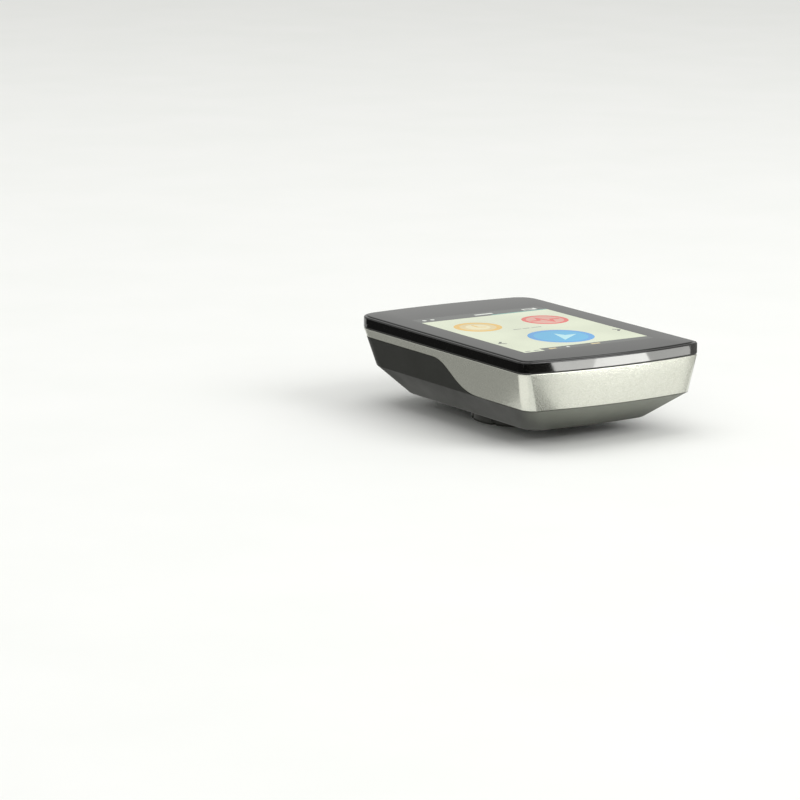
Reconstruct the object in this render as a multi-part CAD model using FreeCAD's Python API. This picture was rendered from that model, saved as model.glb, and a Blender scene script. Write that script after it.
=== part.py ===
import FreeCAD, Part
import math
import os
from collections import namedtuple

# Touch-screen cycling computer: the head unit, with the quarter-turn boss that clips into a bracket.
# Millimetres, +Z up. The screen faces +Z, the nose points along -Y and the rider sits at +Y, so +X is
# the rider's left. The origin is on the axis of the boss, at its lowest face.

V = FreeCAD.Vector
X, Y, Z = V(1, 0, 0), V(0, 1, 0), V(0, 0, 1)

# An outline: half width, reach of the nose, reach of the rider's end, and its corner radii.
Level = namedtuple("Level", "half nose back nose_r back_r")
SHARPEST = 0.8


def inset(level, d):
    """The outline moved inwards by d."""
    return Level(level.half - d, level.nose - d, level.back - d,
                 max(level.nose_r - d, SHARPEST), max(level.back_r - d, SHARPEST))


# ---- driving dimensions ----------------------------------------------------------------------------
WIDTH, LENGTH, HEIGHT = 49.0, 73.0, 21.0

UNDERSIDE_Z = 3.0               # flat underside of the case, around the boss
CREASE_Z = 9.45                 # sharp line between the leaning walls and the hull below
SEAM_Z = 18.1                   # top of the case, where the bezel starts
BEZEL_TOP_Z = 20.8
NOSE_BOW_R = 120.0              # plan radius of the bowed nose
BACK_BOW_R = 180.0              # plan radius of the bowed rider's end
SEAM = Level(WIDTH / 2, LENGTH / 2, LENGTH / 2, 2.6, 5.4)
CREASE = Level(22.7, 35.6, 33.9, 2.9, 6.2)
UNDER = Level(16.7, 27.0, 28.0, 4.5, 6.5)
HULL_ROUND = 2.0                # round between the hull and its underside

# case shell
WALL = 1.4
CAVITY_LOW = Level(16.1, 26.5, 27.4, 5.0, 5.5)
CAVITY_MID = inset(CREASE, 1.8)
CAVITY_MID_Z = CREASE_Z + 0.3
CAVITY_TOP = inset(SEAM, 1.9)
RIB_T = 0.8
POST_TOP_Z = 9.5                # screw posts of the case, where the chassis posts stand on them
POST_R, CHASSIS_POST_R = 2.6, 2.2
SEAL_GROOVE = (1.1, 1.6, 0.5)   # from the case's face to its two walls, and its depth

# silver band
TRIM = 0.8                      # its thickness, let into the case
STRIP_Z = 16.1                  # its lower edge where it is a narrow strip
SWEEP_Y = (-14.0, 3.0)          # where its lower edge sweeps from the crease up to the strip
SWEEP_POLE_Y = -3.97            # middle of the sweep, which its curve is steepest at

# bezel and glass
RIM_ROUND = 0.35
SKIRT = Level(22.1, 34.0, 33.9, 2.2, 4.2)   # lip of the bezel that drops inside the case
SKIRT_LOW_Z = 16.6
GLASS_T, GLASS_ROUND = 1.05, 0.3
GLASS_EDGE = 0.75               # bezel lip left round the glass
GLASS_OPENING = inset(SEAM, GLASS_EDGE)._replace(nose_r=2.6)
GLASS_GAP = 0.05
LEDGE_Z, LEDGE_T = HEIGHT - GLASS_T - 0.1, 0.8
ADHESIVE_EDGE = 0.3             # from the glass opening to the tape under the glass
FRAME_EDGE = 3.5                # from the outline to the chassis and to the inside of the bezel's skirt

# display stack
SCREEN_Y = -1.8                 # centre of the display along Y
LCD_SIZE = (38.4, 53.0)
TOUCH_SIZE = (40.4, 56.0)
CHASSIS_Z = (15.75, 16.95)
TOUCH_Z = (HEIGHT - GLASS_T - 0.3, HEIGHT - GLASS_T)
LCD_Z = (18.25, TOUCH_Z[0])
BACKLIGHT_Z = (CHASSIS_Z[1] + 0.2, LCD_Z[0])
TRAY_WALL = 0.25
FLEX_T = 0.15
DISPLAY_FLEX_X, DISPLAY_FLEX_END_Y, DISPLAY_FLEX_BEND_Y = (-7.0, 7.0), 23.4, 27.4
TOUCH_FLEX_X, TOUCH_FLEX_END_Y, TOUCH_FLEX_BEND_Y = (9.5, 13.5), 25.4, 28.2
FLEX_SLOT_Y = (26.6, 31.3)      # slots of the chassis that the flat cables pass

# fasteners
SCREW_AT = [(sx * 13.2, sy * 20.5) for sx in (-1, 1) for sy in (-1, 1)]
SCREW_R, HEAD_R, HEAD_H = 0.78, 1.5, 1.1
SCREW_TIP_Z = POST_TOP_Z + 2.8
HEAD_SEAT_Z = UNDERSIDE_Z + 1.5
SOCKET_R, SOCKET_FLOOR = 0.75, 0.45
INSERT_R, INSERT_BORE_R, INSERT_L = 1.5, 0.8, 3.0

# quarter-turn boss
NECK_R, TAB_R, TAB_T, TAB_HALF_ANGLE = 12.5, 15.3, 1.5, 32.0
DISH_R, HUB_R, DISH_DEPTH = 9.6, 3.4, 0.9
GRIP_R, GRIP_ANGLE = 0.7, 20.0

# underside details
LANYARD = (6.0, 4.0, 2.6)       # width, length and depth of the lanyard pocket
LANYARD_Y, LANYARD_BAR = -21.0, (1.2, 1.3)
VENT_AT, VENT_HOLE_R, VENT_PITCH, VENT_R, VENT_T = (8.0, -21.5), 0.35, 1.2, 2.2, 0.25

# electronics
PCB_X, PCB_Y, PCB_Z = (-19.0, 19.0), (-28.0, 30.2), (13.6, 14.4)
SHIELD_H, SHIELD_T = 1.2, 0.2
CHIP_H, CONNECTOR_H = 0.8, 0.9
PROCESSOR_AT, RADIO_Y = (0.0, 6.0), -12.5
BATTERY, BATTERY_LOW_Z, BATTERY_ROUND = (31.0, 33.0, 5.6), 4.9, 1.6
LEAD_X, LEAD_R, LEAD_BEND = (3.5, 4.8, 6.1), 0.35, 0.7
LEAD_PATH = [(-16.5, 9.3), (-18.4, 9.3), (-18.4, 12.8), (-19.8, 12.8)]
ANTENNA_X, ANTENNA_Y, ANTENNA_Z = (-14.0, 14.0), (-32.3, -28.8), (11.0, 15.6)
CLIP_X, CLIP_REACH = (-5.0, 4.0), 1.6
BUZZER_AT, BUZZER_SIZE, BUZZER_LOW_Z = (-5.6, -24.0), (9.0, 5.4), 11.6

# buttons: each is described along +Y, with its centre line on the Y axis
BUTTON_Z = 12.5
END_BUTTON_X = 10.5             # lap on the rider's left, start/stop on the right
END_BUTTON = (12.0, 4.2)        # length and height of its face
END_PAD_Y, END_FACE_Y, END_SWITCH_Y = 31.8, 35.4, 29.8
SIDE_BUTTON_Y = 12.0
SIDE_BUTTON = (10.0, 3.6)
SIDE_PAD_X, SIDE_FACE_X, SIDE_SWITCH_X = 20.2, 23.85, 18.2
PAD_Z = (9.6, 15.6)             # thickened walls that guide the buttons
SLIDE_GAP = 0.1
CAP_ROUND = 0.5
FLANGE_T, FLANGE_GAP = 0.75, 0.05
RING_T, RING_AT = 0.7, 0.6      # sealing ring's width, and its distance from the pad's inner face
RING_DEPTH = 0.55               # depth of its groove in the button
PLUNGER_R, PLUNGER_GAP = 0.9, 0.06
SWITCH = (4.6, 2.4, 2.2)        # width, depth and drop under the board
PLUNGER_IN, PLUNGER_BORE = 0.8, 1.3

# USB port and its weather cap
PORT_FACE_Y = 30.15             # flat face that the USB mouth opens in
PORT = (7.8, 2.5)               # width and height of the connector's shell
PORT_DEPTH, PORT_WALL, PORT_GAP, PORT_ROUND = 5.6, 0.3, 0.15, 0.5
PORT_BLOCK = (15.0, 4.6, 9.8)   # width, depth and top of the solid wall that the port passes
GASKET_Y = (28.9, 30.0)
USB_BOARD_Z = (5.4, 6.2)
USB_BOARD_X, USB_BOARD_Y = (-8.5, 8.5), (18.8, 27.6)
USB_FLEX_X, USB_FLEX_Y, USB_FLEX_BEND_Y = (-4.0, 4.0), 23.4, 20.6
USB_RIB_Y = (19.6, 26.6)
PORT_CAP = (12.2, 5.35, 8.9)    # cap's width, its hinge height and its top height
CAP_GAP = 0.1
CAP_TONGUE = (0.8, 0.9, 0.75, 1.25)         # side gap, reach, and its heights above the USB board
CAP_GRIP = (6.0, 2.0, 0.7)      # width, setback and depth of the finger step
ANCHOR = (6.8, 1.7, 1.1)        # width, depth and height of the cap strap's root
FAR = 8.0                       # reach of a cut past the outside of the case


# ---- helpers ---------------------------------------------------------------------------------------
def corner(level, side, end):
    """Ends and middle of a round corner: side is +1 or -1 along X, end is -1 at the nose, 1 at the back."""
    nose = (level.nose, NOSE_BOW_R, level.nose_r)
    back = (level.back, BACK_BOW_R, level.back_r)
    reach, bow, r = nose if end < 0 else back
    bow_y = end * (reach - bow)
    xc = level.half - r
    rise = math.sqrt((bow - r) ** 2 - xc ** 2)
    ux, uy = xc / (bow - r), rise / (bow - r)
    mid = math.atan2(uy, ux) / 2
    centre_y = bow_y + end * rise
    on_side = (side * level.half, centre_y)
    middle = (side * (xc + r * math.cos(mid)), centre_y + end * r * math.sin(mid))
    on_bow = (side * bow * ux, bow_y + end * bow * uy)
    return on_side, middle, on_bow


def outline(level, z):
    """Closed outline with straight sides, bowed ends and four round corners."""
    def at(p):
        return V(p[0], p[1], z)

    def line(a, b):
        return Part.LineSegment(at(a), at(b)).toShape()

    def arc(a, b, c):
        return Part.Arc(at(a), at(b), at(c)).toShape()

    rb, rn, ln, lb = (corner(level, s, e) for s, e in ((1, 1), (1, -1), (-1, -1), (-1, 1)))
    edges = [
        line(rn[0], rb[0]),
        arc(*rb),
        arc(rb[2], (0, level.back), lb[2]),
        arc(*reversed(lb)),
        line(lb[0], ln[0]),
        arc(*ln),
        arc(ln[2], (0, -level.nose), rn[2]),
        arc(*reversed(rn)),
    ]
    return Part.Wire(edges)


def prism(level, z0, z1):
    return Part.Face(outline(level, z0)).extrude(V(0, 0, z1 - z0))


def taper(low, z0, high, z1):
    return Part.makeLoft([outline(low, z0), outline(high, z1)], True, True)


def box(x, y, z):
    """Box between the pairs x, y and z."""
    return Part.makeBox(x[1] - x[0], y[1] - y[0], z[1] - z[0], V(x[0], y[0], z[0]))


def centred(cx, cy, w, d, z):
    return box((cx - w / 2, cx + w / 2), (cy - d / 2, cy + d / 2), z)


def rod(r, start, end):
    return Part.makeCylinder(r, (end - start).Length, start, end - start)


def posts(r, z0, z1):
    """One upright cylinder at each case screw."""
    return [rod(r, V(x, y, z0), V(x, y, z1)) for x, y in SCREW_AT]


def rounded(shape, r, pick):
    """Rounds the edges of the shape that pick says yes to."""
    return shape.makeFillet(r, [e for e in shape.Edges if pick(e)])


def level_edge(z):
    return lambda e: all(abs(v.Z - z) < 1e-4 for v in e.Vertexes) and abs(e.BoundBox.ZLength) < 1e-4


def upright_edge(e):
    return e.BoundBox.XLength < 1e-6 and e.BoundBox.YLength < 1e-6


def rounded_block(cx, cy, w, d, z, r):
    return rounded(centred(cx, cy, w, d, z), r, upright_edge)


def pill(length, height, y0, y1):
    """Stadium in XZ, centred on the Y axis, that reaches from y0 to y1."""
    r = height / 2
    half = length / 2 - r
    ends = [rod(r, V(sx * half, y0, 0), V(sx * half, y1, 0)) for sx in (-1, 1)]
    return box((-half, half), (y0, y1), (-r, r)).multiFuse(ends).removeSplitter()


def ribbon(x, run0, run1, bend_y, z, side):
    """Flat cable in YZ: level runs at the heights z, joined by a half turn at bend_y that bulges to side."""
    radius = (z[1] - z[0]) / 2
    middle = z[0] + radius
    width = x[1] - x[0]
    ring = Part.makeCylinder(radius, width, V(x[0], bend_y, middle), X)
    ring = ring.cut(Part.makeCylinder(radius - FLEX_T, width, V(x[0], bend_y, middle), X))
    ring = ring.common(box(x, sorted((bend_y, bend_y + side * 2 * radius)), z))
    top = box(x, sorted((bend_y, run1)), (z[1] - FLEX_T, z[1]))
    bottom = box(x, sorted((bend_y, run0)), (z[0], z[0] + FLEX_T))
    return ring.multiFuse([top, bottom]).removeSplitter()


def wire_run(points, bend, r):
    """Round wire along straight runs joined by tangent arcs of radius bend."""
    edges, start = [], points[0]
    for before, at, after in zip(points, points[1:], points[2:]):
        back, ahead = (before - at).normalize(), (after - at).normalize()
        half = back.getAngle(ahead) / 2
        first, last = at + back * (bend / math.tan(half)), at + ahead * (bend / math.tan(half))
        middle = at + (back + ahead).normalize() * (bend / math.sin(half) - bend)
        edges += [Part.LineSegment(start, first).toShape(), Part.Arc(first, middle, last).toShape()]
        start = last
    edges.append(Part.LineSegment(start, points[-1]).toShape())
    ring = Part.Wire(Part.makeCircle(r, points[0], points[1] - points[0]))
    return Part.Wire(edges).makePipeShell([ring], True, False)


def at_end_button(shape, sx):
    """Moves a shape made along +Y to the end button on side sx."""
    shape = shape.copy()
    shape.translate(V(sx * END_BUTTON_X, 0, BUTTON_Z))
    return shape


def at_side_button(shape):
    """Turns a shape made along +Y to point along +X, at the side button."""
    shape = shape.copy()
    shape.rotate(V(0, 0, 0), Z, -90)
    shape.translate(V(0, SIDE_BUTTON_Y, BUTTON_Z))
    return shape


# ---- case --------------------------------------------------------------------------------------------
def hull():
    lower = rounded(taper(UNDER, UNDERSIDE_Z, CREASE, CREASE_Z), HULL_ROUND, level_edge(UNDERSIDE_Z))
    return lower.fuse(taper(CREASE, CREASE_Z, SEAM, SEAM_Z))


def cavity():
    lower = taper(CAVITY_LOW, UNDERSIDE_Z + WALL, CAVITY_MID, CAVITY_MID_Z)
    return lower.fuse(taper(CAVITY_MID, CAVITY_MID_Z, CAVITY_TOP, SEAM_Z + 0.1))


def trim_band():
    """Silver band: deep round the nose, then a narrow strip along the sides and round the back."""
    skin = taper(CREASE, CREASE_Z, SEAM, SEAM_Z).cut(
        taper(inset(CREASE, TRIM), CREASE_Z - 0.01, inset(SEAM, TRIM), SEAM_Z + 0.01))
    y0, y1 = SWEEP_Y
    sweep = Part.BezierCurve()
    sweep.setPoles([V(0, y0, CREASE_Z), V(0, SWEEP_POLE_Y, CREASE_Z), V(0, SWEEP_POLE_Y, STRIP_Z),
                    V(0, y1, STRIP_Z)])
    corners = [V(0, y1, STRIP_Z), V(0, LENGTH, STRIP_Z), V(0, LENGTH, SEAM_Z), V(0, -LENGTH, SEAM_Z),
               V(0, -LENGTH, CREASE_Z), V(0, y0, CREASE_Z)]
    sides = [Part.LineSegment(a, b).toShape() for a, b in zip(corners, corners[1:])]
    profile = Part.Face(Part.Wire([sweep.toShape()] + sides))
    profile.translate(V(-WIDTH, 0, 0))
    return skin.common(profile.extrude(V(2 * WIDTH, 0, 0)))


def housing_seal():
    """Square-section ring in the top of the case wall, and the groove that it fills."""
    outer, inner, depth = SEAL_GROOVE
    return prism(inset(SEAM, outer), SEAM_Z - depth, SEAM_Z).cut(
        prism(inset(SEAM, inner), SEAM_Z - depth, SEAM_Z))


def wall_pads():
    """Thick places of the case: button guides, screw posts, lanyard pocket, port wall and support ribs."""
    foot = UNDERSIDE_Z + 1
    pads = [centred(sx * END_BUTTON_X, END_PAD_Y + 2, END_BUTTON[0] + 3, 4, PAD_Z) for sx in (-1, 1)]
    pads.append(centred(SIDE_PAD_X + 1.5, SIDE_BUTTON_Y, 3, SIDE_BUTTON[0] + 3, PAD_Z))
    pads += posts(POST_R, foot, POST_TOP_Z)
    pads.append(centred(0, LANYARD_Y, LANYARD[0] + 2.4, LANYARD[1] + 2.4, (foot, 6.8)))
    width, depth, top = PORT_BLOCK
    pads.append(centred(0, PORT_FACE_Y + 0.85, width, depth, (foot, top)))
    pads += [centred(0, y, width, RIB_T, (foot, USB_BOARD_Z[0])) for y in USB_RIB_Y]
    battery_ribs = [(sx * 8.6, sy * (BATTERY[1] / 2 + 0.6)) for sx in (-1, 1) for sy in (-1, 1)]
    pads += [centred(x, y, 4.6, RIB_T, (foot, 8.0)) for x, y in battery_ribs]
    return pads


def button_holes():
    """Bore of each button and the pocket that its flange moves in."""
    length, height = END_BUTTON
    cuts = []
    for sx in (-1, 1):
        bore = pill(length + 2 * SLIDE_GAP, height + 2 * SLIDE_GAP, END_SWITCH_Y, END_SWITCH_Y + 10)
        cuts.append(at_end_button(bore, sx))
        cuts.append(at_end_button(pill(length + 2.2, height + 1.4, END_PAD_Y - 4, END_PAD_Y), sx))
    length, height = SIDE_BUTTON
    bore = pill(length + 2 * SLIDE_GAP, height + 2 * SLIDE_GAP, SIDE_SWITCH_X, SIDE_SWITCH_X + 10)
    return cuts + [at_side_button(bore)]


def underside_holes():
    """Screw holes and head pockets, the lanyard pocket with its bar, and three vent holes."""
    cuts = posts(0.95, 0, POST_TOP_Z + 1) + posts(HEAD_R + 0.1, 0, HEAD_SEAT_Z)
    width, length, depth = LANYARD
    bar, bar_top = LANYARD_BAR
    pocket = centred(0, LANYARD_Y, width, length, (0, UNDERSIDE_Z + depth))
    cuts.append(pocket.cut(centred(0, LANYARD_Y, bar, length, (UNDERSIDE_Z, UNDERSIDE_Z + bar_top))))
    x, y = VENT_AT
    for k in (-1, 0, 1):
        cuts.append(rod(VENT_HOLE_R, V(x + k * VENT_PITCH, y, 0), V(x + k * VENT_PITCH, y, UNDERSIDE_Z + 2)))
    return cuts


def port_pocket():
    """Wedge cut into the hull under the crease, which the weather cap fills."""
    width, low, high = PORT_CAP
    half = width / 2 + CAP_GAP
    return box((-half, half), (PORT_FACE_Y, PORT_FACE_Y + FAR), (low - 3, high + CAP_GAP))


def port_hole():
    w, h = PORT
    half = w / 2 + PORT_GAP
    low = USB_BOARD_Z[1]
    return box((-half, half), (27.0, PORT_FACE_Y + 1), (low - PORT_GAP, low + h + PORT_GAP))


def port_anchor():
    """Pocket and root of the rubber strap that ties the cap to the case, just under the hinge."""
    width, depth, height = ANCHOR
    low = PORT_CAP[1]
    return box((-width / 2, width / 2), (PORT_FACE_Y - depth, PORT_FACE_Y + 2), (low - height, low - CAP_GAP))


def rear_housing(body, hollow, band):
    guard = body.cut(band)
    solid = body.cut(hollow).multiFuse([pad.common(guard) for pad in wall_pads()])
    cuts = [band, housing_seal(), port_pocket(), port_hole(), port_anchor()]
    cuts += button_holes() + underside_holes()
    return solid.cut(Part.makeCompound(cuts)).removeSplitter()


def front_bezel():
    """Rim round the glass, with the ledge that the glass lies on and a skirt inside the case."""
    ring = prism(SEAM, SEAM_Z, BEZEL_TOP_Z)
    ring = rounded(ring, RIM_ROUND, level_edge(BEZEL_TOP_Z))
    ring = rounded(ring, RIM_ROUND, level_edge(SEAM_Z))
    solid = ring.fuse(prism(SKIRT, SKIRT_LOW_Z, SEAM_Z))
    solid = solid.cut(prism(GLASS_OPENING, LEDGE_Z, HEIGHT + 1))
    solid = solid.cut(prism(inset(SEAM, FRAME_EDGE), SKIRT_LOW_Z - 1, LEDGE_Z - LEDGE_T))
    flex_notch = box((TOUCH_FLEX_X[0] - 0.4, TOUCH_FLEX_X[1] + 0.4), (26, 31.2), (SKIRT_LOW_Z - 1, LEDGE_Z))
    window = (TOUCH_SIZE[0] + 0.4, TOUCH_SIZE[1] + 0.4)
    return solid.cut(flex_notch).cut(centred(0, SCREEN_Y, *window, (SKIRT_LOW_Z - 1, HEIGHT)))


def cover_glass():
    pane = prism(inset(GLASS_OPENING, GLASS_GAP), HEIGHT - GLASS_T, HEIGHT)
    return rounded(pane, GLASS_ROUND, level_edge(HEIGHT))


def glass_adhesive():
    """Ring of foam tape between the glass and the bezel's ledge."""
    ring = prism(inset(GLASS_OPENING, ADHESIVE_EDGE), LEDGE_Z, HEIGHT - GLASS_T)
    return ring.cut(centred(0, SCREEN_Y, TOUCH_SIZE[0] + 1, TOUCH_SIZE[1] + 1, (LEDGE_Z - 1, HEIGHT)))


def quarter_turn_boss():
    """Neck with two tabs at the ends of Y, a dished face and grip notches between the tabs."""
    boss = Part.makeCylinder(NECK_R, UNDERSIDE_Z)
    for middle in (90, 270):
        tab = Part.makeCylinder(TAB_R, TAB_T, V(0, 0, 0), Z, 2 * TAB_HALF_ANGLE)
        tab.rotate(V(0, 0, 0), Z, middle - TAB_HALF_ANGLE)
        boss = boss.fuse(tab)
    boss = boss.removeSplitter()
    boss = boss.cut(Part.makeCylinder(DISH_R, DISH_DEPTH).cut(Part.makeCylinder(HUB_R, DISH_DEPTH)))
    notches = []
    for angle in (math.radians(side + s) for side in (0, 180) for s in (-GRIP_ANGLE, GRIP_ANGLE)):
        x, y = NECK_R * math.cos(angle), NECK_R * math.sin(angle)
        notches.append(rod(GRIP_R, V(x, y, -1), V(x, y, TAB_T)))
    return boss.cut(Part.makeCompound(notches))


# ---- display -----------------------------------------------------------------------------------------
def panel(size, z):
    return centred(0, SCREEN_Y, size[0], size[1], z)


def display_tray():
    """Folded steel tray that holds the backlight."""
    outer = [side + 2 * TRAY_WALL for side in LCD_SIZE]
    tray = panel(outer, (CHASSIS_Z[1], BACKLIGHT_Z[1]))
    return tray.cut(panel(LCD_SIZE, (BACKLIGHT_Z[0], HEIGHT)))


def display_flex():
    z = (PCB_Z[1] + 0.1, LCD_Z[0] + 0.2)
    end = SCREEN_Y + LCD_SIZE[1] / 2
    return ribbon(DISPLAY_FLEX_X, DISPLAY_FLEX_END_Y, end, DISPLAY_FLEX_BEND_Y, z, 1)


def touch_flex():
    z = (PCB_Z[1] + 0.1, TOUCH_Z[0] + FLEX_T)
    end = SCREEN_Y + TOUCH_SIZE[1] / 2
    return ribbon(TOUCH_FLEX_X, TOUCH_FLEX_END_Y, end, TOUCH_FLEX_BEND_Y, z, 1)


def chassis():
    """Moulded plate that carries the display above and the board below, on four screw posts."""
    plate = prism(inset(SEAM, FRAME_EDGE), *CHASSIS_Z)
    solid = plate.multiFuse(posts(CHASSIS_POST_R, POST_TOP_Z, CHASSIS_Z[0]))
    sleeve_top = POST_TOP_Z + INSERT_L
    through = (CHASSIS_Z[0] - 0.5, CHASSIS_Z[1] + 0.5)
    cuts = [box((x[0] - 0.4, x[1] + 0.4), FLEX_SLOT_Y, through) for x in (DISPLAY_FLEX_X, TOUCH_FLEX_X)]
    cuts += [centred(0, y, 26, 14, through) for y in (-9, 10)]
    cuts += posts(INSERT_R, POST_TOP_Z, sleeve_top) + posts(SCREW_R + 0.12, POST_TOP_Z, sleeve_top + 1)
    return solid.cut(Part.makeCompound(cuts)).removeSplitter()


# ---- fasteners ---------------------------------------------------------------------------------------
def threaded_inserts():
    sleeves = posts(INSERT_R, POST_TOP_Z, POST_TOP_Z + INSERT_L)
    bores = posts(INSERT_BORE_R, POST_TOP_Z - 1, POST_TOP_Z + INSERT_L + 1)
    return Part.makeCompound([sleeve.cut(bore) for sleeve, bore in zip(sleeves, bores)])


def case_screws():
    """Four screws with six-sided sockets, driven up from the underside."""
    screws = []
    low = HEAD_SEAT_Z - HEAD_H
    shanks = posts(SCREW_R, HEAD_SEAT_Z, SCREW_TIP_Z)
    for (x, y), head, shank in zip(SCREW_AT, posts(HEAD_R, low, HEAD_SEAT_Z), shanks):
        angles = [k * math.pi / 3 for k in range(7)]
        hexagon = [V(x + SOCKET_R * math.cos(a), y + SOCKET_R * math.sin(a), 0) for a in angles]
        socket = Part.Face(Part.makePolygon(hexagon)).extrude(V(0, 0, HEAD_SEAT_Z - SOCKET_FLOOR))
        screws.append(rounded(head, 0.2, level_edge(low)).cut(socket).fuse(shank))
    return Part.makeCompound(screws)


# ---- electronics -------------------------------------------------------------------------------------
def main_board():
    board = rounded(box(PCB_X, PCB_Y, PCB_Z), 2.0, upright_edge)
    return board.cut(Part.makeCompound(posts(CHASSIS_POST_R + 0.2, PCB_Z[0] - 1, PCB_Z[1] + 1)))


def shield_can(cx, cy, w, d):
    """Folded tin lid over a group of chips."""
    low, high = PCB_Z[1], PCB_Z[1] + SHIELD_H
    lid = rounded_block(cx, cy, w, d, (low, high), 0.6)
    return lid.cut(centred(cx, cy, w - 2 * SHIELD_T, d - 2 * SHIELD_T, (low, high - SHIELD_T)))


def chip(cx, cy, w, d, h=CHIP_H):
    return centred(cx, cy, w, d, (PCB_Z[1], PCB_Z[1] + h))


def battery():
    w, d, h = BATTERY
    pouch = centred(0, 0, w, d, (BATTERY_LOW_Z, BATTERY_LOW_Z + h))
    return rounded(pouch, BATTERY_ROUND, lambda e: e.BoundBox.YLength > d - 1)


def battery_leads():
    runs = [[V(x, y, z) for y, z in LEAD_PATH] for x in LEAD_X]
    return Part.makeCompound([wire_run(run, LEAD_BEND, LEAD_R) for run in runs])


def battery_connector():
    end_y, end_z = LEAD_PATH[-1]
    return centred(LEAD_X[1], end_y - 1.2, 5.4, 2.4, (end_z - 0.8, PCB_Z[0]))


def gnss_antenna():
    """Plated plastic carrier that follows the inside of the nose."""
    return rounded(box(ANTENNA_X, ANTENNA_Y, ANTENNA_Z), 0.8, lambda e: e.BoundBox.XLength > 20)


def antenna_clips():
    y, z = (ANTENNA_Y[1], ANTENNA_Y[1] + CLIP_REACH), (PCB_Z[1], PCB_Z[1] + CONNECTOR_H)
    return Part.makeCompound([box((x, x + 1.2), y, z) for x in CLIP_X])


def buzzer():
    """Piezo sounder with a sound hole in its lower face."""
    x, y = BUZZER_AT
    can = rounded_block(x, y, *BUZZER_SIZE, (BUZZER_LOW_Z, PCB_Z[0]), 0.8)
    return can.cut(rod(0.6, V(x, y, BUZZER_LOW_Z - 1), V(x, y, BUZZER_LOW_Z + 0.8)))


# ---- buttons -----------------------------------------------------------------------------------------
def button(size, pad, face, switch_face):
    """One button along +Y: cap, sealing ring and switch plunger, as a dictionary of solids."""
    length, height = size
    start = pad - FLANGE_GAP
    flange = pill(length + 1.8, height + 1.0, start - FLANGE_T, start)
    stem = pill(length, height, start, face)
    stem = rounded(stem, CAP_ROUND,
                   lambda e: abs(e.BoundBox.YMin - face) < 1e-4 and e.BoundBox.YLength < 1e-4)
    ring_y = (pad + RING_AT, pad + RING_AT + RING_T)
    core = pill(length - 2 * RING_DEPTH, height - 2 * RING_DEPTH, *ring_y)
    groove = pill(length + 2, height + 2, *ring_y).cut(core)
    seal = pill(length + SLIDE_GAP, height + SLIDE_GAP, *ring_y).cut(core)
    plunger = rod(PLUNGER_R, V(0, switch_face - PLUNGER_IN, 0), V(0, start - FLANGE_T, 0))
    return {"button": stem.fuse(flange).removeSplitter().cut(groove), "seal": seal, "plunger": plunger}


def tact_switch(face):
    """Side-push switch that hangs under the board, with its plunger's bore."""
    width, depth, drop = SWITCH
    top = PCB_Z[0] - BUTTON_Z
    body = box((-width / 2, width / 2), (face - depth, face), (top - drop, top))
    return body.cut(rod(PLUNGER_R + PLUNGER_GAP, V(0, face - PLUNGER_BORE, 0), V(0, face + 1, 0)))


# ---- USB port ----------------------------------------------------------------------------------------
def port_shell(y0, y1):
    """Outer shape of the connector, rounded along its two upper edges."""
    w, h = PORT
    low = USB_BOARD_Z[1]
    return rounded(box((-w / 2, w / 2), (y0, y1), (low, low + h)), PORT_ROUND,
                   lambda e: e.BoundBox.YLength > y1 - y0 - 0.1 and e.BoundBox.ZMin > low + 1)


def usb_port():
    w, h = PORT
    low = USB_BOARD_Z[1]
    front = PORT_FACE_Y - 0.1
    mouth = box((PORT_WALL - w / 2, w / 2 - PORT_WALL), (front - 4.6, front + 1),
                (low + PORT_WALL, low + h - PORT_WALL))
    tongue = box((-1.9, 1.9), (front - 4.7, front - 0.9), (low + h - 1.15, low + h - 0.65))
    return port_shell(front - PORT_DEPTH, front).cut(mouth).fuse(tongue)


def usb_gasket():
    ring = port_hole().common(box((-PORT[0], PORT[0]), GASKET_Y, (0, HEIGHT)))
    return ring.cut(port_shell(GASKET_Y[0] - 5, GASKET_Y[1] + 1))


def usb_board():
    return rounded(box(USB_BOARD_X, USB_BOARD_Y, USB_BOARD_Z), 1.0, upright_edge)


def usb_flex():
    return ribbon(USB_FLEX_X, USB_FLEX_Y, USB_FLEX_Y, USB_FLEX_BEND_Y, (USB_BOARD_Z[1], PCB_Z[0]), -1)


def usb_cap(body):
    """Rubber wedge flush with the hull, with a tongue that plugs the mouth of the port."""
    width, low, high = PORT_CAP
    y0 = PORT_FACE_Y + CAP_GAP
    wedge = box((-width / 2, width / 2), (y0, PORT_FACE_Y + FAR), (low, high)).common(body)
    side, reach, bottom, top = CAP_TONGUE
    half = PORT[0] / 2 - side
    board = USB_BOARD_Z[1]
    tongue = box((-half, half), (PORT_FACE_Y - reach, y0 + 0.2), (board + bottom, board + top))
    grip_w, grip_back, grip_h = CAP_GRIP
    grip = box((-grip_w / 2, grip_w / 2), (PORT_FACE_Y + grip_back, PORT_FACE_Y + FAR), (high - grip_h, high))
    return wedge.cut(grip.common(wedge)).fuse(tongue)


# ---- assembly ----------------------------------------------------------------------------------------
def shell_parts():
    body, hollow, band = hull(), cavity(), trim_band()
    return {
        "rear_housing": rear_housing(body, hollow, band),
        "trim_band": band,
        "front_bezel": front_bezel(),
        "cover_glass": cover_glass(),
        "glass_adhesive": glass_adhesive(),
        "housing_seal": housing_seal(),
        "quarter_turn_boss": quarter_turn_boss(),
        "chassis": chassis(),
        "threaded_inserts": threaded_inserts(),
        "case_screws": case_screws(),
        "usb_cap_strap": port_anchor().common(body),
        "usb_cap": usb_cap(body),
    }


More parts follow.
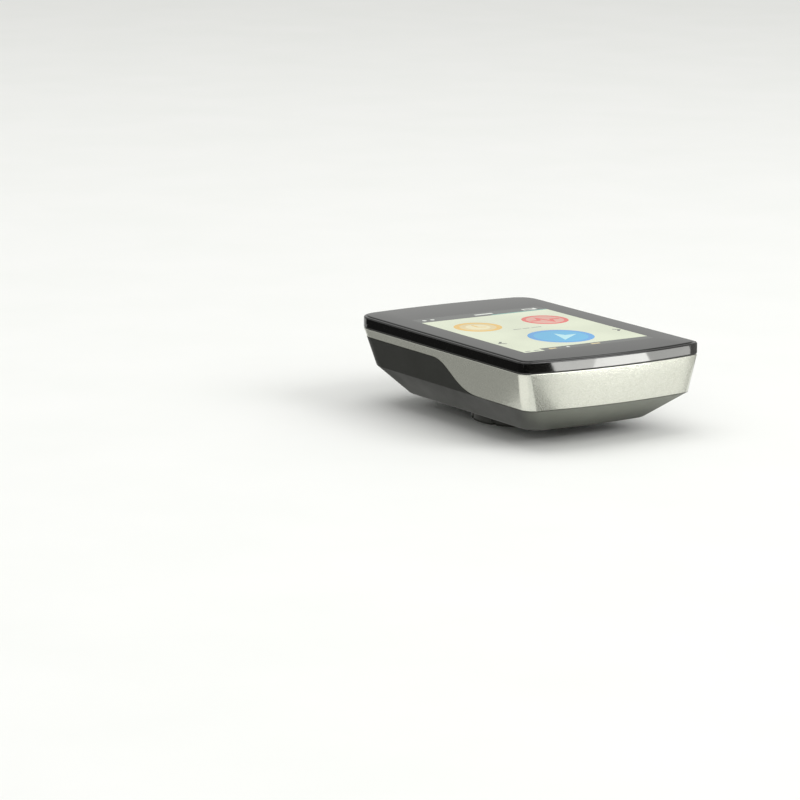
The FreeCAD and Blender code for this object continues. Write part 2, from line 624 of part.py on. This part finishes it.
def display_parts():
    return {
        "touch_sensor": panel(TOUCH_SIZE, TOUCH_Z),
        "lcd_panel": panel(LCD_SIZE, LCD_Z),
        "backlight": panel(LCD_SIZE, BACKLIGHT_Z),
        "display_tray": display_tray(),
        "display_flex": display_flex(),
        "touch_flex": touch_flex(),
        "display_connector": chip(0, DISPLAY_FLEX_END_Y - 1, 15, 2, CONNECTOR_H),
        "touch_connector": chip(sum(TOUCH_FLEX_X) / 2, TOUCH_FLEX_END_Y - 0.8, 5, 1.6, CONNECTOR_H),
        "light_sensor": centred(12.0, -30.6, 2.2, 2.2, (CHASSIS_Z[1], CHASSIS_Z[1] + CHIP_H)),
    }


def electronic_parts():
    floor_z = UNDERSIDE_Z + WALL
    vent = V(*VENT_AT, floor_z)
    return {
        "main_board": main_board(),
        "processor_shield": shield_can(*PROCESSOR_AT, 24, 18),
        "radio_shield": shield_can(0, RADIO_Y, 20, 13),
        "processor": chip(*PROCESSOR_AT, 12, 12),
        "gnss_receiver": chip(-4.5, RADIO_Y, 6, 6),
        "radio_module": chip(4.5, RADIO_Y, 7, 6),
        "gnss_antenna": gnss_antenna(),
        "antenna_clips": antenna_clips(),
        "buzzer": buzzer(),
        "battery": battery(),
        "battery_pad": centred(0, 0, BATTERY[0] - 4, BATTERY[1] - 4, (floor_z, BATTERY_LOW_Z)),
        "battery_leads": battery_leads(),
        "battery_connector": battery_connector(),
        "vent_membrane": rod(VENT_R, vent, vent + V(0, 0, VENT_T)),
        "usb_board": usb_board(),
        "usb_port": usb_port(),
        "usb_gasket": usb_gasket(),
        "usb_flex": usb_flex(),
    }


def button_parts():
    parts = {}

    def add(name, pieces, switch_face, place):
        parts[f"{name}_button"] = place(pieces["button"])
        parts[f"{name}_button_seal"] = place(pieces["seal"])
        parts[f"{name}_switch_plunger"] = place(pieces["plunger"])
        parts[f"{name}_switch"] = place(tact_switch(switch_face))

    end = button(END_BUTTON, END_PAD_Y, END_FACE_Y, END_SWITCH_Y)
    add("lap", end, END_SWITCH_Y, lambda shape: at_end_button(shape, 1))
    add("start", end, END_SWITCH_Y, lambda shape: at_end_button(shape, -1))
    side = button(SIDE_BUTTON, SIDE_PAD_X, SIDE_FACE_X, SIDE_SWITCH_X)
    add("power", side, SIDE_SWITCH_X, at_side_button)
    return parts


os.makedirs("parts", exist_ok=True)
for name, shape in {**shell_parts(), **display_parts(), **electronic_parts(), **button_parts()}.items():
    shape.exportStep(os.path.join("parts", name + ".step"))
    print(f"{name}: {len(shape.Solids)} solid(s), {shape.Volume:.1f} mm3, valid {shape.isValid()}")
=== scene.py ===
import bmesh
import bpy
import math
from mathutils import Matrix, Vector
from mathutils.geometry import delaunay_2d_cdt


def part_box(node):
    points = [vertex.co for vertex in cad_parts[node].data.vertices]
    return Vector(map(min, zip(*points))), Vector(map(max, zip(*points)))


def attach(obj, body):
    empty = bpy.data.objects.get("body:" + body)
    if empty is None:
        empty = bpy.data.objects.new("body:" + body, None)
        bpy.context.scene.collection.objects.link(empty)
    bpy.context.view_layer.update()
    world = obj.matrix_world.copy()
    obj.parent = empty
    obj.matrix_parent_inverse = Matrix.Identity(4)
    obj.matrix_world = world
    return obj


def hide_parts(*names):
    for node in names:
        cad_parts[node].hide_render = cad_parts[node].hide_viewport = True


# The looks of a touch-screen cycling computer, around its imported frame. Metres, +Z up: the screen
# faces +Z, the nose points along -Y, and the rider sits at +Y.

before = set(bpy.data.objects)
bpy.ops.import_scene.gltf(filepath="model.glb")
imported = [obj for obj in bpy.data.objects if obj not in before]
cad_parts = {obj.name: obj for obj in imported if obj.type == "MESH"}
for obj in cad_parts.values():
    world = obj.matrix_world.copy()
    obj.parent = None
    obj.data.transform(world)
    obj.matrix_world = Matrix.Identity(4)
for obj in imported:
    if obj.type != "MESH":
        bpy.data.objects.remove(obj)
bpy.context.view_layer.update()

MM = 0.001
SAME_POINT = 0.001 * MM             # corners closer than this are one corner


# ---- camera ------------------------------------------------------------------------------------
AZIMUTH, ELEVATION, ROLL = (math.radians(a) for a in (-34.86, 11.16, 0.84))
DISTANCE = 0.8367
LENS, SENSOR = 162.6, 36.0
SIGHT = Vector((0, 0, 0.012))       # the point that the angles and the distance are measured to
SIGHT_PLACE = (0.1574, 0.0428)      # where it falls, right and up of the middle, in picture widths


def add_camera():
    back = Vector((math.sin(AZIMUTH) * math.cos(ELEVATION),
                   -math.cos(AZIMUTH) * math.cos(ELEVATION), math.sin(ELEVATION)))
    level = Vector((math.cos(AZIMUTH), math.sin(AZIMUTH), 0))
    right = math.cos(ROLL) * level + math.sin(ROLL) * back.cross(level)
    up = back.cross(right)
    aside = [p * SENSOR / LENS * DISTANCE for p in SIGHT_PLACE]
    place = SIGHT + back * DISTANCE
    aim = SIGHT - right * aside[0] - up * aside[1]
    back = (place - aim).normalized()
    up = back.cross(right).normalized()
    right = up.cross(back)
    data = bpy.data.cameras.new("camera")
    data.lens, data.sensor_width = LENS, SENSOR
    data.clip_start, data.clip_end = 0.01, 50
    camera = bpy.data.objects.new("camera", data)
    bpy.context.scene.collection.objects.link(camera)
    turn = Matrix((right, up, back)).transposed().to_4x4()
    camera.matrix_world = Matrix.Translation(place) @ turn
    bpy.context.scene.camera = camera


# ---- materials ---------------------------------------------------------------------------------
class Finish:
    """A node material under construction: its principled shader and the nodes that feed it."""

    def __init__(self, name, **sockets):
        self.material = bpy.data.materials.new(name)
        self.material.use_nodes = True
        self.tree = self.material.node_tree
        self.shader = self.tree.nodes["Principled BSDF"]
        self.place = self.tree.nodes.new("ShaderNodeTexCoord").outputs["Object"]
        self.set(**sockets)

    def set(self, **sockets):
        for socket, value in sockets.items():
            self.join(self.shader.inputs[socket.replace("_", " ")], value)

    def join(self, socket, value):
        if isinstance(value, bpy.types.NodeSocket):
            self.tree.links.new(value, socket)
        else:
            socket.default_value = value

    def add(self, kind, inputs, output=0, **settings):
        node = self.tree.nodes.new("ShaderNode" + kind)
        for key, value in settings.items():
            setattr(node, key, value)
        for key, value in inputs.items():
            self.join(node.inputs[key], value)
        return node.outputs[output]

    def noise(self, size, detail=2.0, rough=0.5, stretch=None):
        """Cloudy noise whose patches are about size millimetres across."""
        place = self.place
        if stretch:
            place = self.add("Mapping", {"Vector": place, "Scale": stretch})
        return self.add("TexNoise", {"Vector": place, "Scale": 1 / (size * MM), "Detail": detail,
                                     "Roughness": rough})

    def cells(self, size):
        """Cells about size millimetres across, each with its own random colour."""
        return self.add("TexVoronoi", {"Vector": self.place, "Scale": 1 / (size * MM)}, "Color")

    def ramp(self, value, low, high, start=0.3, end=0.7):
        """Stretches the part of a texture between start and end to the range low to high."""
        return self.add("MapRange", {"Value": value, "From Min": start, "From Max": end,
                                     "To Min": low, "To Max": high})

    def mix(self, factor, a, b, blend="MIX"):
        node = self.tree.nodes.new("ShaderNodeMix")
        node.data_type, node.blend_type = "RGBA", blend
        for key, value in ((0, factor), (6, a), (7, b)):
            self.join(node.inputs[key], value)
        return node.outputs[2]

    def bump(self, height, depth):
        """Relief of a texture, depth millimetres deep."""
        self.set(Normal=self.add("Bump", {"Height": height, "Distance": depth * MM,
                                          "Strength": 1.0}))

    def edges(self, radius):
        """0 on faces and up to 1 along edges, within radius millimetres of them."""
        bent = self.add("Bevel", {"Radius": radius * MM}, samples=4)
        flat = self.add("NewGeometry", {}, "Normal")
        along = self.add("VectorMath", {0: bent, 1: flat}, "Value", operation="DOT_PRODUCT")
        away = self.add("Math", {0: 1.0, 1: along}, operation="SUBTRACT")
        return self.ramp(away, 0.0, 1.0, 0.0, 0.25)


def shade(colour, factor):
    return (*[c * factor for c in colour], 1)


def moulded(name, colour, roughness=0.45, grain=0.3, depth=0.012, spread=0.16, worn=0.0, **sockets):
    """Moulded plastic or rubber: a spark-eroded grain, faint flow clouds and paler edges."""
    f = Finish(name, **sockets)
    fine, cloud = f.noise(grain, 3, 0.6), f.noise(9, 2)
    tone = f.mix(f.ramp(fine, 0, 1), shade(colour, 1 - spread), shade(colour, 1 + spread))
    tone = f.mix(f.ramp(cloud, 0, 0.5), tone, shade(colour, 1 + spread))
    if worn:
        tone = f.mix(f.edges(0.25), tone, shade(colour, 1 + worn))
    f.set(Base_Color=tone, Roughness=f.ramp(cloud, roughness - 0.05, roughness + 0.07))
    f.bump(fine, depth)
    return f.material


def polished(name, colour, roughness=0.06, smudge=0.10, **sockets):
    """Polished plastic or glass: faint wipe marks and finger haze in its gloss, slight ripple."""
    f = Finish(name, **sockets)
    haze, wipes = f.noise(6, 3, 0.65), f.noise(2.2, 4, 0.7, (1, 0.12, 1))
    marks = f.add("Math", {0: f.ramp(haze, 0, 1, 0.5, 0.75), 1: f.ramp(wipes, 0.15, 1, 0.4, 0.8)},
                  operation="MULTIPLY")
    f.set(Base_Color=f.mix(f.ramp(haze, 0, 1), shade(colour, 0.85), shade(colour, 1.2)),
          Roughness=f.ramp(marks, roughness, roughness + smudge, 0, 1))
    f.bump(f.noise(5, 1), 0.0012)
    return f.material


def flake_paint(name, colour):
    """Satin silver paint: fine aluminium flakes in a clear binder, polished paler at the edges."""
    f = Finish(name, Metallic=1.0, Coat_Weight=0.15, Coat_Roughness=0.15)
    flakes = f.add("SeparateColor", {"Color": f.cells(0.07)}, 0)
    peel = f.noise(0.55, 2)
    tone = f.mix(flakes, shade(colour, 0.86), shade(colour, 1.10))
    tone = f.mix(f.ramp(f.noise(14, 2), 0, 0.35), tone, shade(colour, 0.93))
    tone = f.mix(f.edges(0.18), tone, shade(colour, 1.25))
    f.set(Base_Color=tone, Roughness=f.ramp(flakes, 0.20, 0.30, 0, 1))
    f.bump(peel, 0.0022)
    return f.material


def sheet_metal(name, colour, roughness=0.3, brushed=(1, 14, 14), **sockets):
    """Rolled or turned metal: fine lines one way and duller clouds."""
    f = Finish(name, Metallic=1.0, **sockets)
    lines, cloud = f.noise(0.9, 3, 0.6, brushed), f.noise(4, 3)
    f.set(Base_Color=f.mix(f.ramp(lines, 0, 1), shade(colour, 0.85), shade(colour, 1.08)),
          Roughness=f.ramp(cloud, roughness - 0.06, roughness + 0.1))
    f.bump(lines, 0.004)
    return f.material


def crinkled_foil(name, colour):
    """The laminated pouch of a cell: a soft sheen over shallow creases, with painted shade along
    them.
    """
    f = Finish(name, Metallic=0.75)
    creases = f.add("TexVoronoi", {"Vector": f.place, "Scale": 1 / (3.5 * MM)}, "Distance",
                    feature="DISTANCE_TO_EDGE")
    # painted shade: the colour is darkened along the creases
    f.set(Base_Color=f.mix(f.ramp(creases, 0, 1, 0, 0.3), shade(colour, 0.8), shade(colour, 1)),
          Roughness=f.ramp(f.noise(2, 3), 0.28, 0.45))
    f.bump(creases, 0.05)
    return f.material


def laminate(name, mask):
    """Circuit board: glass cloth under solder mask, with copper tracks that show through paler."""
    f = Finish(name, Coat_Weight=0.3, Coat_Roughness=0.2)
    cloth = f.add("TexBrick", {"Vector": f.place, "Scale": 1 / (1.4 * MM), "Mortar Size": 0.07,
                               "Color1": shade(mask, 1.0), "Color2": shade(mask, 0.85),
                               "Mortar": shade(mask, 1.7)}, 0, offset=0.37)
    f.set(Base_Color=f.mix(f.ramp(f.noise(0.35, 2), 0, 0.5), cloth, shade(mask, 1.3)),
          Roughness=f.ramp(f.noise(3, 2), 0.3, 0.45))
    f.bump(f.noise(0.3, 1), 0.01)
    return f.material


def lit_pixels(name, colour, glow):
    """A lit area of the display under the glass: a faint pixel grid and an uneven backlight."""
    f = Finish(name, Roughness=0.045)
    grid = f.add("TexBrick", {"Vector": f.place, "Scale": 1 / (0.5 * MM), "Mortar Size": 0.03,
                              "Color1": (1, 1, 1, 1), "Color2": (0.965, 0.97, 0.96, 1),
                              "Mortar": (0.9, 0.9, 0.9, 1)}, 0, offset=0.0)
    uneven = f.ramp(f.noise(16, 1), 0.9, 1.05)
    tone = f.mix(1.0, grid, shade(colour, 1), "MULTIPLY")
    tone = f.mix(uneven, (0, 0, 0, 1), tone)
    f.set(Base_Color=tone, Emission_Color=tone, Emission_Strength=glow)
    f.bump(f.noise(5, 1), 0.0012)
    return f.material


FINISHES = {
    "case_plastic": lambda n: moulded(n, (0.034, 0.036, 0.030), 0.42, worn=0.5,
                                      Specular_IOR_Level=0.3),
    "inner_plastic": lambda n: moulded(n, (0.055, 0.057, 0.055), 0.5),
    "silver_paint": lambda n: flake_paint(n, (0.68, 0.69, 0.62)),
    "black_gloss": lambda n: polished(n, (0.003, 0.003, 0.0028), 0.05, IOR=1.6),
    "glass": lambda n: polished(n, (0.008, 0.009, 0.008), 0.02, 0.06),
    "sensor_glass": lambda n: polished(n, (0.02, 0.02, 0.022), 0.05),
    "screen": lambda n: polished(n, (0.02, 0.024, 0.026), 0.12),
    "diffuser": lambda n: moulded(n, (0.75, 0.76, 0.74), 0.55, 0.2, 0.004, 0.04),
    "steel": lambda n: sheet_metal(n, (0.58, 0.58, 0.57), 0.28),
    "flex_film": lambda n: polished(n, (0.42, 0.19, 0.03), 0.25, 0.15),
    "connector_plastic": lambda n: moulded(n, (0.62, 0.60, 0.54), 0.45, 0.15, 0.004),
    "brass": lambda n: sheet_metal(n, (0.72, 0.50, 0.20), 0.25),
    "screw_steel": lambda n: sheet_metal(n, (0.30, 0.30, 0.29), 0.32),
    "circuit_board": lambda n: laminate(n, (0.006, 0.05, 0.022)),
    "tin_plate": lambda n: sheet_metal(n, (0.66, 0.66, 0.63), 0.38),
    "chip_epoxy": lambda n: moulded(n, (0.018, 0.018, 0.019), 0.5, 0.12, 0.004),
    "gold_plate": lambda n: sheet_metal(n, (0.85, 0.62, 0.24), 0.2),
    "battery_foil": lambda n: crinkled_foil(n, (0.55, 0.56, 0.57)),
    "foam": lambda n: moulded(n, (0.03, 0.03, 0.03), 0.9, 0.12, 0.05, 0.4),
    "rubber": lambda n: moulded(n, (0.022, 0.023, 0.022), 0.62, 0.18, 0.010),
    "wire_red": lambda n: moulded(n, (0.45, 0.02, 0.015), 0.4, 0.3, 0.003),
    "membrane": lambda n: moulded(n, (0.70, 0.71, 0.70), 0.8, 0.08, 0.008, 0.05),
    "button_plastic": lambda n: moulded(n, (0.020, 0.021, 0.020), 0.36, 0.2, 0.006, worn=0.6),
    "plunger_plastic": lambda n: moulded(n, (0.60, 0.60, 0.57), 0.4, 0.2, 0.004),
}


def finish_nodes():
    """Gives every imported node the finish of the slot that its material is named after."""
    made = {}
    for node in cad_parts.values():
        for spot in node.material_slots:
            name = spot.material.name.split(".")[0]
            if name not in made:
                made[name] = FINISHES[name](name + "_finish")
            spot.material = made[name]


# ---- moulded edges -----------------------------------------------------------------------------
EDGE_ROUNDS = {     # how wide the softened edges of each part are, in millimetres
    "rear_housing": 0.14, "trim_band": 0.20, "front_bezel": 0.05, "quarter_turn_boss": 0.16,
    "lap_button": 0.10, "start_button": 0.10, "power_button": 0.10, "usb_cap": 0.12,
    "usb_cap_strap": 0.08, "case_screws": 0.05,
}
ONE_PLANE = math.radians(0.3)       # faces that meet at less than this are one flat face
SHARP_EDGE = math.radians(32)       # edges that turn more than this are softened


def soften(node, radius):
    """Rounds the sharp edges of a part by a hair, so that they catch light as moulded edges do."""
    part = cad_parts[node]
    weld = part.modifiers.new("joined_faces", "WELD")
    weld.merge_threshold = SAME_POINT
    planes = part.modifiers.new("whole_planes", "DECIMATE")
    planes.decimate_type, planes.angle_limit = "DISSOLVE", ONE_PLANE
    bevel = part.modifiers.new("soft_edges", "BEVEL")
    bevel.width, bevel.segments = radius * MM, 2
    bevel.limit_method, bevel.angle_limit = "ANGLE", SHARP_EDGE
    bevel.harden_normals = True
    normals = part.modifiers.new("face_normals", "WEIGHTED_NORMAL")
    normals.keep_sharp = True


# ---- cover glass with the lit screen behind it -------------------------------------------------
# All in millimetres, on the top of the glass.
SCREEN_X, SCREEN_Y = (-17.8, 17.8), (-25.2, 21.3)   # the lit area
BAR_Y = 17.0                        # where the status bar at the rider's end starts
HEAD_X, HEAD_Y = -12.4, -22.7       # inner corner of the dark strip at the nose end
CLOCK, PULSE, ROUTE = (-9.4, 6.1), (9.4, 6.0), (0.7, -12.8)     # middles of the icons
PAGE_ARROWS = ((-15.8, -13.0, 90), (16.4, -13.0, -90))          # places and turns

SCREEN_COLOURS = {      # colour, and how strongly it glows
    "field": ((0.52, 0.56, 0.42), 0.43),
    "bar": ((0.05, 0.055, 0.05), 0.2),
    "teal": ((0.10, 0.30, 0.26), 0.3),
    "amber": ((0.66, 0.40, 0.06), 0.3),
    "pale_amber": ((0.62, 0.50, 0.24), 0.3),
    "pale_yellow": ((0.66, 0.60, 0.36), 0.35),
    "red": ((0.62, 0.06, 0.04), 0.3),
    "pale_red": ((0.60, 0.28, 0.22), 0.3),
    "blue": ((0.02, 0.25, 0.58), 0.35),
    "sky": ((0.03, 0.34, 0.60), 0.34),
    "white": ((0.62, 0.64, 0.60), 0.35),
    "ice": ((0.34, 0.62, 0.68), 0.38),
    "ink": ((0.03, 0.035, 0.03), 0.1),
    "grey_ink": ((0.22, 0.23, 0.20), 0.2),
}


def disc(x, y, r, steps=64):
    return [(x + r * math.cos(2 * math.pi * k / steps), y + r * math.sin(2 * math.pi * k / steps))
            for k in range(steps)]


def block(x0, x1, y0, y1):
    return [(x0, y0), (x1, y0), (x1, y1), (x0, y1)]


def moved(points, x, y, turn=0.0):
    """Points turned about the origin by turn degrees, then moved by x and y."""
    c, s = math.cos(math.radians(turn)), math.sin(math.radians(turn))
    return [(x + c * px - s * py, y + s * px + c * py) for px, py in points]


def stroke(points, width):
    """A band of even width along an open line of points, with its sharpest corners held back."""
    line = [Vector(p) for p in points]
    left, right = [], []
    for k, p in enumerate(line):
        before, after = line[max(k - 1, 0)], line[min(k + 1, len(line) - 1)]
        sides = [(b - a).normalized() for a, b in ((before, p), (p, after)) if (b - a).length > 0]
        along = sum(sides, Vector((0, 0))).normalized()
        spread = width / 2 / max(along.dot(sides[0]), 0.3)
        out = Vector((-along.y, along.x)) * spread
        left.append(tuple(p + out))
        right.append(tuple(p - out))
    return left + right[::-1]


def anticlockwise(points):
    area = sum(a[0] * b[1] - b[0] * a[1] for a, b in zip(points, points[1:] + points[:1]))
    return points if area > 0 else points[::-1]


def screen_layers():
    """What the screen shows, each layer over the ones before it: (colour, outline)."""
    (x0, x1), (y0, y1) = SCREEN_X, SCREEN_Y
    layers = [("field", block(x0, x1, y0, BAR_Y)), ("bar", block(x0, x1, BAR_Y, y1)),
              ("teal", block(2.0, x1, BAR_Y, BAR_Y + 0.7))]
    # status bar: two dots, a clock line and a battery
    layers += [("white", disc(x, 19.2, 0.55, 24)) for x in (-15.6, -13.4)]
    layers += [("white", block(-1.5, 3.5, 18.7, 19.7)), ("white", block(12.2, 16.0, 18.4, 20.0)),
               ("bar", block(12.6, 15.0, 18.8, 19.6))]
    # clock: an amber ring with two hands
    x, y = CLOCK
    hour_hand, minute_hand = block(-0.3, 0.3, -0.3, 2.0), block(-0.3, 0.3, -0.3, 2.6)
    layers += [("amber", disc(x, y, 5.65)), ("pale_amber", disc(x, y, 4.3)),
               ("pale_yellow", disc(x, y, 2.9)), ("amber", moved(minute_hand, x, y)),
               ("amber", moved(hour_hand, x, y, -115))]
    # pulse: a red ring round a trace
    x, y = PULSE
    trace = [(-4.0, 0), (-1.7, 0), (-0.7, 2.3), (0.7, -2.3), (1.7, 0), (4.0, 0)]
    layers += [("red", disc(x, y, 5.55)), ("pale_red", disc(x, y, 4.5)),
               ("red", moved(stroke(trace, 0.9), x, y))]
    # route: a blue disc with a heading arrow
    x, y = ROUTE
    arrow = [(0, 4.3), (2.6, -3.0), (0, -1.5), (-2.6, -3.0)]
    layers += [("blue", disc(x, y, 7.7, 80)), ("sky", disc(x, y, 6.3, 72)),
               ("ice", moved(arrow, x + 0.8, y - 0.5, 145))]
    # names under the icons, as plain bars, and page arrows at the sides
    layers += [("grey_ink", block(a, b, -1.0, -0.5))
               for a, b in ((-4.2, -2.0), (-1.6, 0.4), (0.8, 3.6))]
    chevron = stroke([(-1.2, -0.6), (0, 0.6), (1.2, -0.6)], 0.6)
    layers += [("ink", moved(chevron, x, y, turn)) for x, y, turn in PAGE_ARROWS]
    # nose end: two ticks, and a dark strip with marks
    marks = (("pale_amber", -10.4, -8.4), ("white", -5.6, -4.8), ("pale_amber", 1.2, 3.6))
    layers += [("grey_ink", block(x, x + 1.4, -24.4, -23.7)) for x in (-17.0, -14.6)]
    layers += [("bar", block(HEAD_X, x1, y0, HEAD_Y))]
    layers += [(tone, block(a, b, -24.3, -23.5)) for tone, a, b in marks]
    return layers


LEVEL, TOP_REACH = 0.999, 0.01 * MM     # how level a top face is, and how near to the top it lies
CUT_STEP = 1e-5                         # corners of the screen's outlines this near, in mm, are one
CREASE = math.radians(30)               # edges of the glass that turn more than this look sharp


def add_screen_glass():
    """The cover glass, with its top divided into the black border and the parts of the screen."""
    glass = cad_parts["cover_glass"]
    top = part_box("cover_glass")[1].z
    mesh = bmesh.new()
    mesh.from_mesh(glass.data)
    bmesh.ops.remove_doubles(mesh, verts=mesh.verts, dist=SAME_POINT)
    level = [f for f in mesh.faces if f.normal.z > LEVEL]
    flat = [f for f in level if abs(f.calc_center_median().z - top) < TOP_REACH]
    bmesh.ops.delete(mesh, geom=flat, context="FACES")
    rim = [e for e in mesh.edges if e.is_boundary]
    loop = [rim[0].verts[0]]
    while len(loop) < len(rim):
        ways = [e.other_vert(loop[-1]) for e in loop[-1].link_edges if e.is_boundary]
        loop.append(next(v for v in ways if len(loop) == 1 or v != loop[-2]))

    layers = screen_layers()
    edge = [tuple(v.co.xy / MM) for v in loop]
    outlines = [anticlockwise(o) for o in [edge] + [o for _, o in layers]]
    points = [Vector(p) for outline in outlines for p in outline]
    faces, start = [], 0
    for outline in outlines:
        faces.append(list(range(start, start + len(outline))))
        start += len(outline)
    cut = delaunay_2d_cdt(points, [], faces, 1, CUT_STEP)
    colours = ["glass"] + list(SCREEN_COLOURS)
    verts = [mesh.verts.new((p.x * MM, p.y * MM, top)) for p in cut[0]]
    for corners, sources in zip(cut[2], cut[5]):
        face = mesh.faces.new([verts[c] for c in corners])
        uppermost = max(sources)
        face.material_index = colours.index(layers[uppermost - 1][0]) if uppermost else 0
    bmesh.ops.remove_doubles(mesh, verts=mesh.verts, dist=SAME_POINT)
    bmesh.ops.recalc_face_normals(mesh, faces=mesh.faces)
    data = bpy.data.meshes.new("screen_glass")
    mesh.to_mesh(data)
    mesh.free()
    data.materials.append(glass.material_slots[0].material)
    for name, (colour, glow) in SCREEN_COLOURS.items():
        data.materials.append(lit_pixels("screen_" + name, colour, glow))
    data.set_sharp_from_angle(angle=CREASE)
    piece = bpy.data.objects.new("screen_glass", data)
    bpy.context.scene.collection.objects.link(piece)
    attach(piece, "case")
    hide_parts("cover_glass")


# ---- studio ------------------------------------------------------------------------------------
def add_quad(name, corners, material):
    data = bpy.data.meshes.new(name)
    data.from_pydata(corners, [], [list(range(len(corners)))])
    data.materials.append(material)
    quad = bpy.data.objects.new(name, data)
    bpy.context.scene.collection.objects.link(quad)
    return quad


FLOOR_REACH = 12.0
FLOOR_TONES = (0.86, 0.87, 0.85, 1), (0.88, 0.885, 0.87, 1)


def add_floor():
    f = Finish("floor_paper", Roughness=0.85)
    f.set(Base_Color=f.mix(f.ramp(f.noise(40, 3), 0, 1), *FLOOR_TONES))
    corners = [(x, y, 0) for x, y in block(-FLOOR_REACH, FLOOR_REACH, -FLOOR_REACH, FLOOR_REACH)]
    add_quad("floor", corners, f.material)


CARD_TINT = (1, 1, 0.96, 1)


def add_card(name, corners, glow, rays):
    """A glowing card that is seen from its front, and only by some rays: glossy ones mirror it,
    and diffuse ones take it for the floor in soft light. Its corners are in millimetres,
    anticlockwise from its front."""
    material = bpy.data.materials.new(name)
    material.use_nodes = True
    tree = material.node_tree
    tree.nodes.clear()
    light = tree.nodes.new("ShaderNodeEmission")
    light.inputs["Color"].default_value = CARD_TINT
    light.inputs["Strength"].default_value = glow
    side = tree.nodes.new("ShaderNodeMixShader")
    tree.links.new(tree.nodes.new("ShaderNodeNewGeometry").outputs["Backfacing"], side.inputs[0])
    tree.links.new(light.outputs[0], side.inputs[1])
    tree.links.new(tree.nodes.new("ShaderNodeBsdfTransparent").outputs[0], side.inputs[2])
    tree.links.new(side.outputs[0], tree.nodes.new("ShaderNodeOutputMaterial").inputs["Surface"])
    card = add_quad(name, [Vector(corner) * MM for corner in corners], material)
    for ray in ("camera", "transmission", "volume_scatter", "shadow", "glossy", "diffuse"):
        setattr(card, "visible_" + ray, ray in rays)


def fan(start, end, near, far, steps=8):
    """Part of a ring round the object, between two angles from +X and two radii in millimetres."""
    angles = [math.radians(start + (end - start) * k / steps) for k in range(steps + 1)]
    ring = [[(r * math.cos(a), r * math.sin(a)) for a in angles] for r in (near, far)]
    return ring[0] + ring[1][::-1]


CARD_Z = 0.4    # how high the floor cards lie, in millimetres
CARDS = {       # outline in millimetres, how brightly it glows, and the rays that see it
    "side_card": (block(-70, -25, -8, 110), 0.38, "glossy"),
    "far_side_card": (block(-240, -70, -70, 240), 0.06, "glossy"),
    "side_shade_card": (block(-240, -24, -60, 240), 0.03, "diffuse"),
    "foot_card": (block(-24, -10, -26, 45), 0.55, "glossy"),
    "other_side_card": (block(25, 70, -8, 110), 0.42, "glossy", "diffuse"),
    "other_far_card": (block(70, 240, -40, 240), 0.35, "glossy"),
    "corner_streak_card": (block(-69, -36, -60, -9), 1.15, "glossy"),
    "corner_stripe_card": (block(-17, -8, -82, -38.5), 0.30, "glossy"),
    "corner_dark_card": (fan(212, 276, 95, 260), 0.02, "glossy"),
    "nose_near_card": (block(-6, 71, -82, -42), 1.06, "glossy"),
    "nose_grey_card": ([(12, -115), (34, -111), (50, -133), (16, -141)], 9.0, "glossy"),
    "nose_white_card": ([(34, -111), (72, -98), (83, -117), (50, -133)], 14.0, "glossy"),
    "nose_end_card": ([(72, -98), (100, -80), (113, -97), (83, -117)], 5.5, "glossy"),
    "nose_bounce_card": (block(-25, 160, -220, -36), 8.0, "diffuse"),
}

# An upright card on the floor beside the nose, which keeps the nose's cards out of the far side's
# gloss: its X range, Y, Z range in millimetres, and its glow.
FLAG = (28, 160), -39, (0.4, 40)
FLAG_GLOW = 0.7

LIGHTS = {      # place, size in metres, power in watts; both aim at the origin
    "key": ((0.55, -0.9, 0.75), (0.7, 0.7), 6.5),
    "top": ((-0.1, 0.15, 1.1), (0.9, 0.9), 3.6),
}
SKY_BRIGHT, SKY_DIM = 0.82, 0.46
SKY_SIDE = (0.5, -0.6, 0.6)     # where the bright side is


def add_area(name, place, size, power):
    data = bpy.data.lights.new(name, "AREA")
    data.shape, data.size, data.size_y = "RECTANGLE", *size
    data.energy = power
    light = bpy.data.objects.new(name, data)
    bpy.context.scene.collection.objects.link(light)
    light.location = place
    light.visible_camera = False
    light.rotation_euler = (-Vector(place)).to_track_quat("-Z", "Y").to_euler()


def add_sky():
    """A pale surround that is brighter on one side."""
    world = bpy.data.worlds.new("studio")
    world.use_nodes = True
    tree = world.node_tree
    place = tree.nodes.new("ShaderNodeTexCoord").outputs["Generated"]
    side = tree.nodes.new("ShaderNodeVectorMath")
    side.operation = "DOT_PRODUCT"
    side.inputs[1].default_value = Vector(SKY_SIDE).normalized()
    level = tree.nodes.new("ShaderNodeMapRange")
    level.inputs["From Min"].default_value = -1.0
    level.inputs["To Min"].default_value = SKY_DIM
    level.inputs["To Max"].default_value = SKY_BRIGHT
    tree.links.new(place, side.inputs[0])
    tree.links.new(side.outputs["Value"], level.inputs["Value"])
    tree.links.new(level.outputs["Result"], tree.nodes["Background"].inputs["Strength"])
    tree.nodes["Background"].inputs["Color"].default_value = (1.0, 1.0, 0.98, 1)
    bpy.context.scene.world = world


def add_studio():
    add_floor()
    add_sky()
    for name, (place, size, power) in LIGHTS.items():
        add_area(name, place, size, power)
    for name, (outline, glow, *rays) in CARDS.items():
        add_card(name, [(x, y, CARD_Z) for x, y in anticlockwise(outline)], glow, rays)
    (x0, x1), y, (z0, z1) = FLAG
    flag = [(x0, y, z0), (x0, y, z1), (x1, y, z1), (x1, y, z0)]
    add_card("side_flag", flag, FLAG_GLOW, ("glossy",))
    bpy.context.scene.view_settings.view_transform = "Standard"


add_camera()
add_studio()
finish_nodes()
for name, radius in EDGE_ROUNDS.items():
    soften(name, radius)
add_screen_glass()
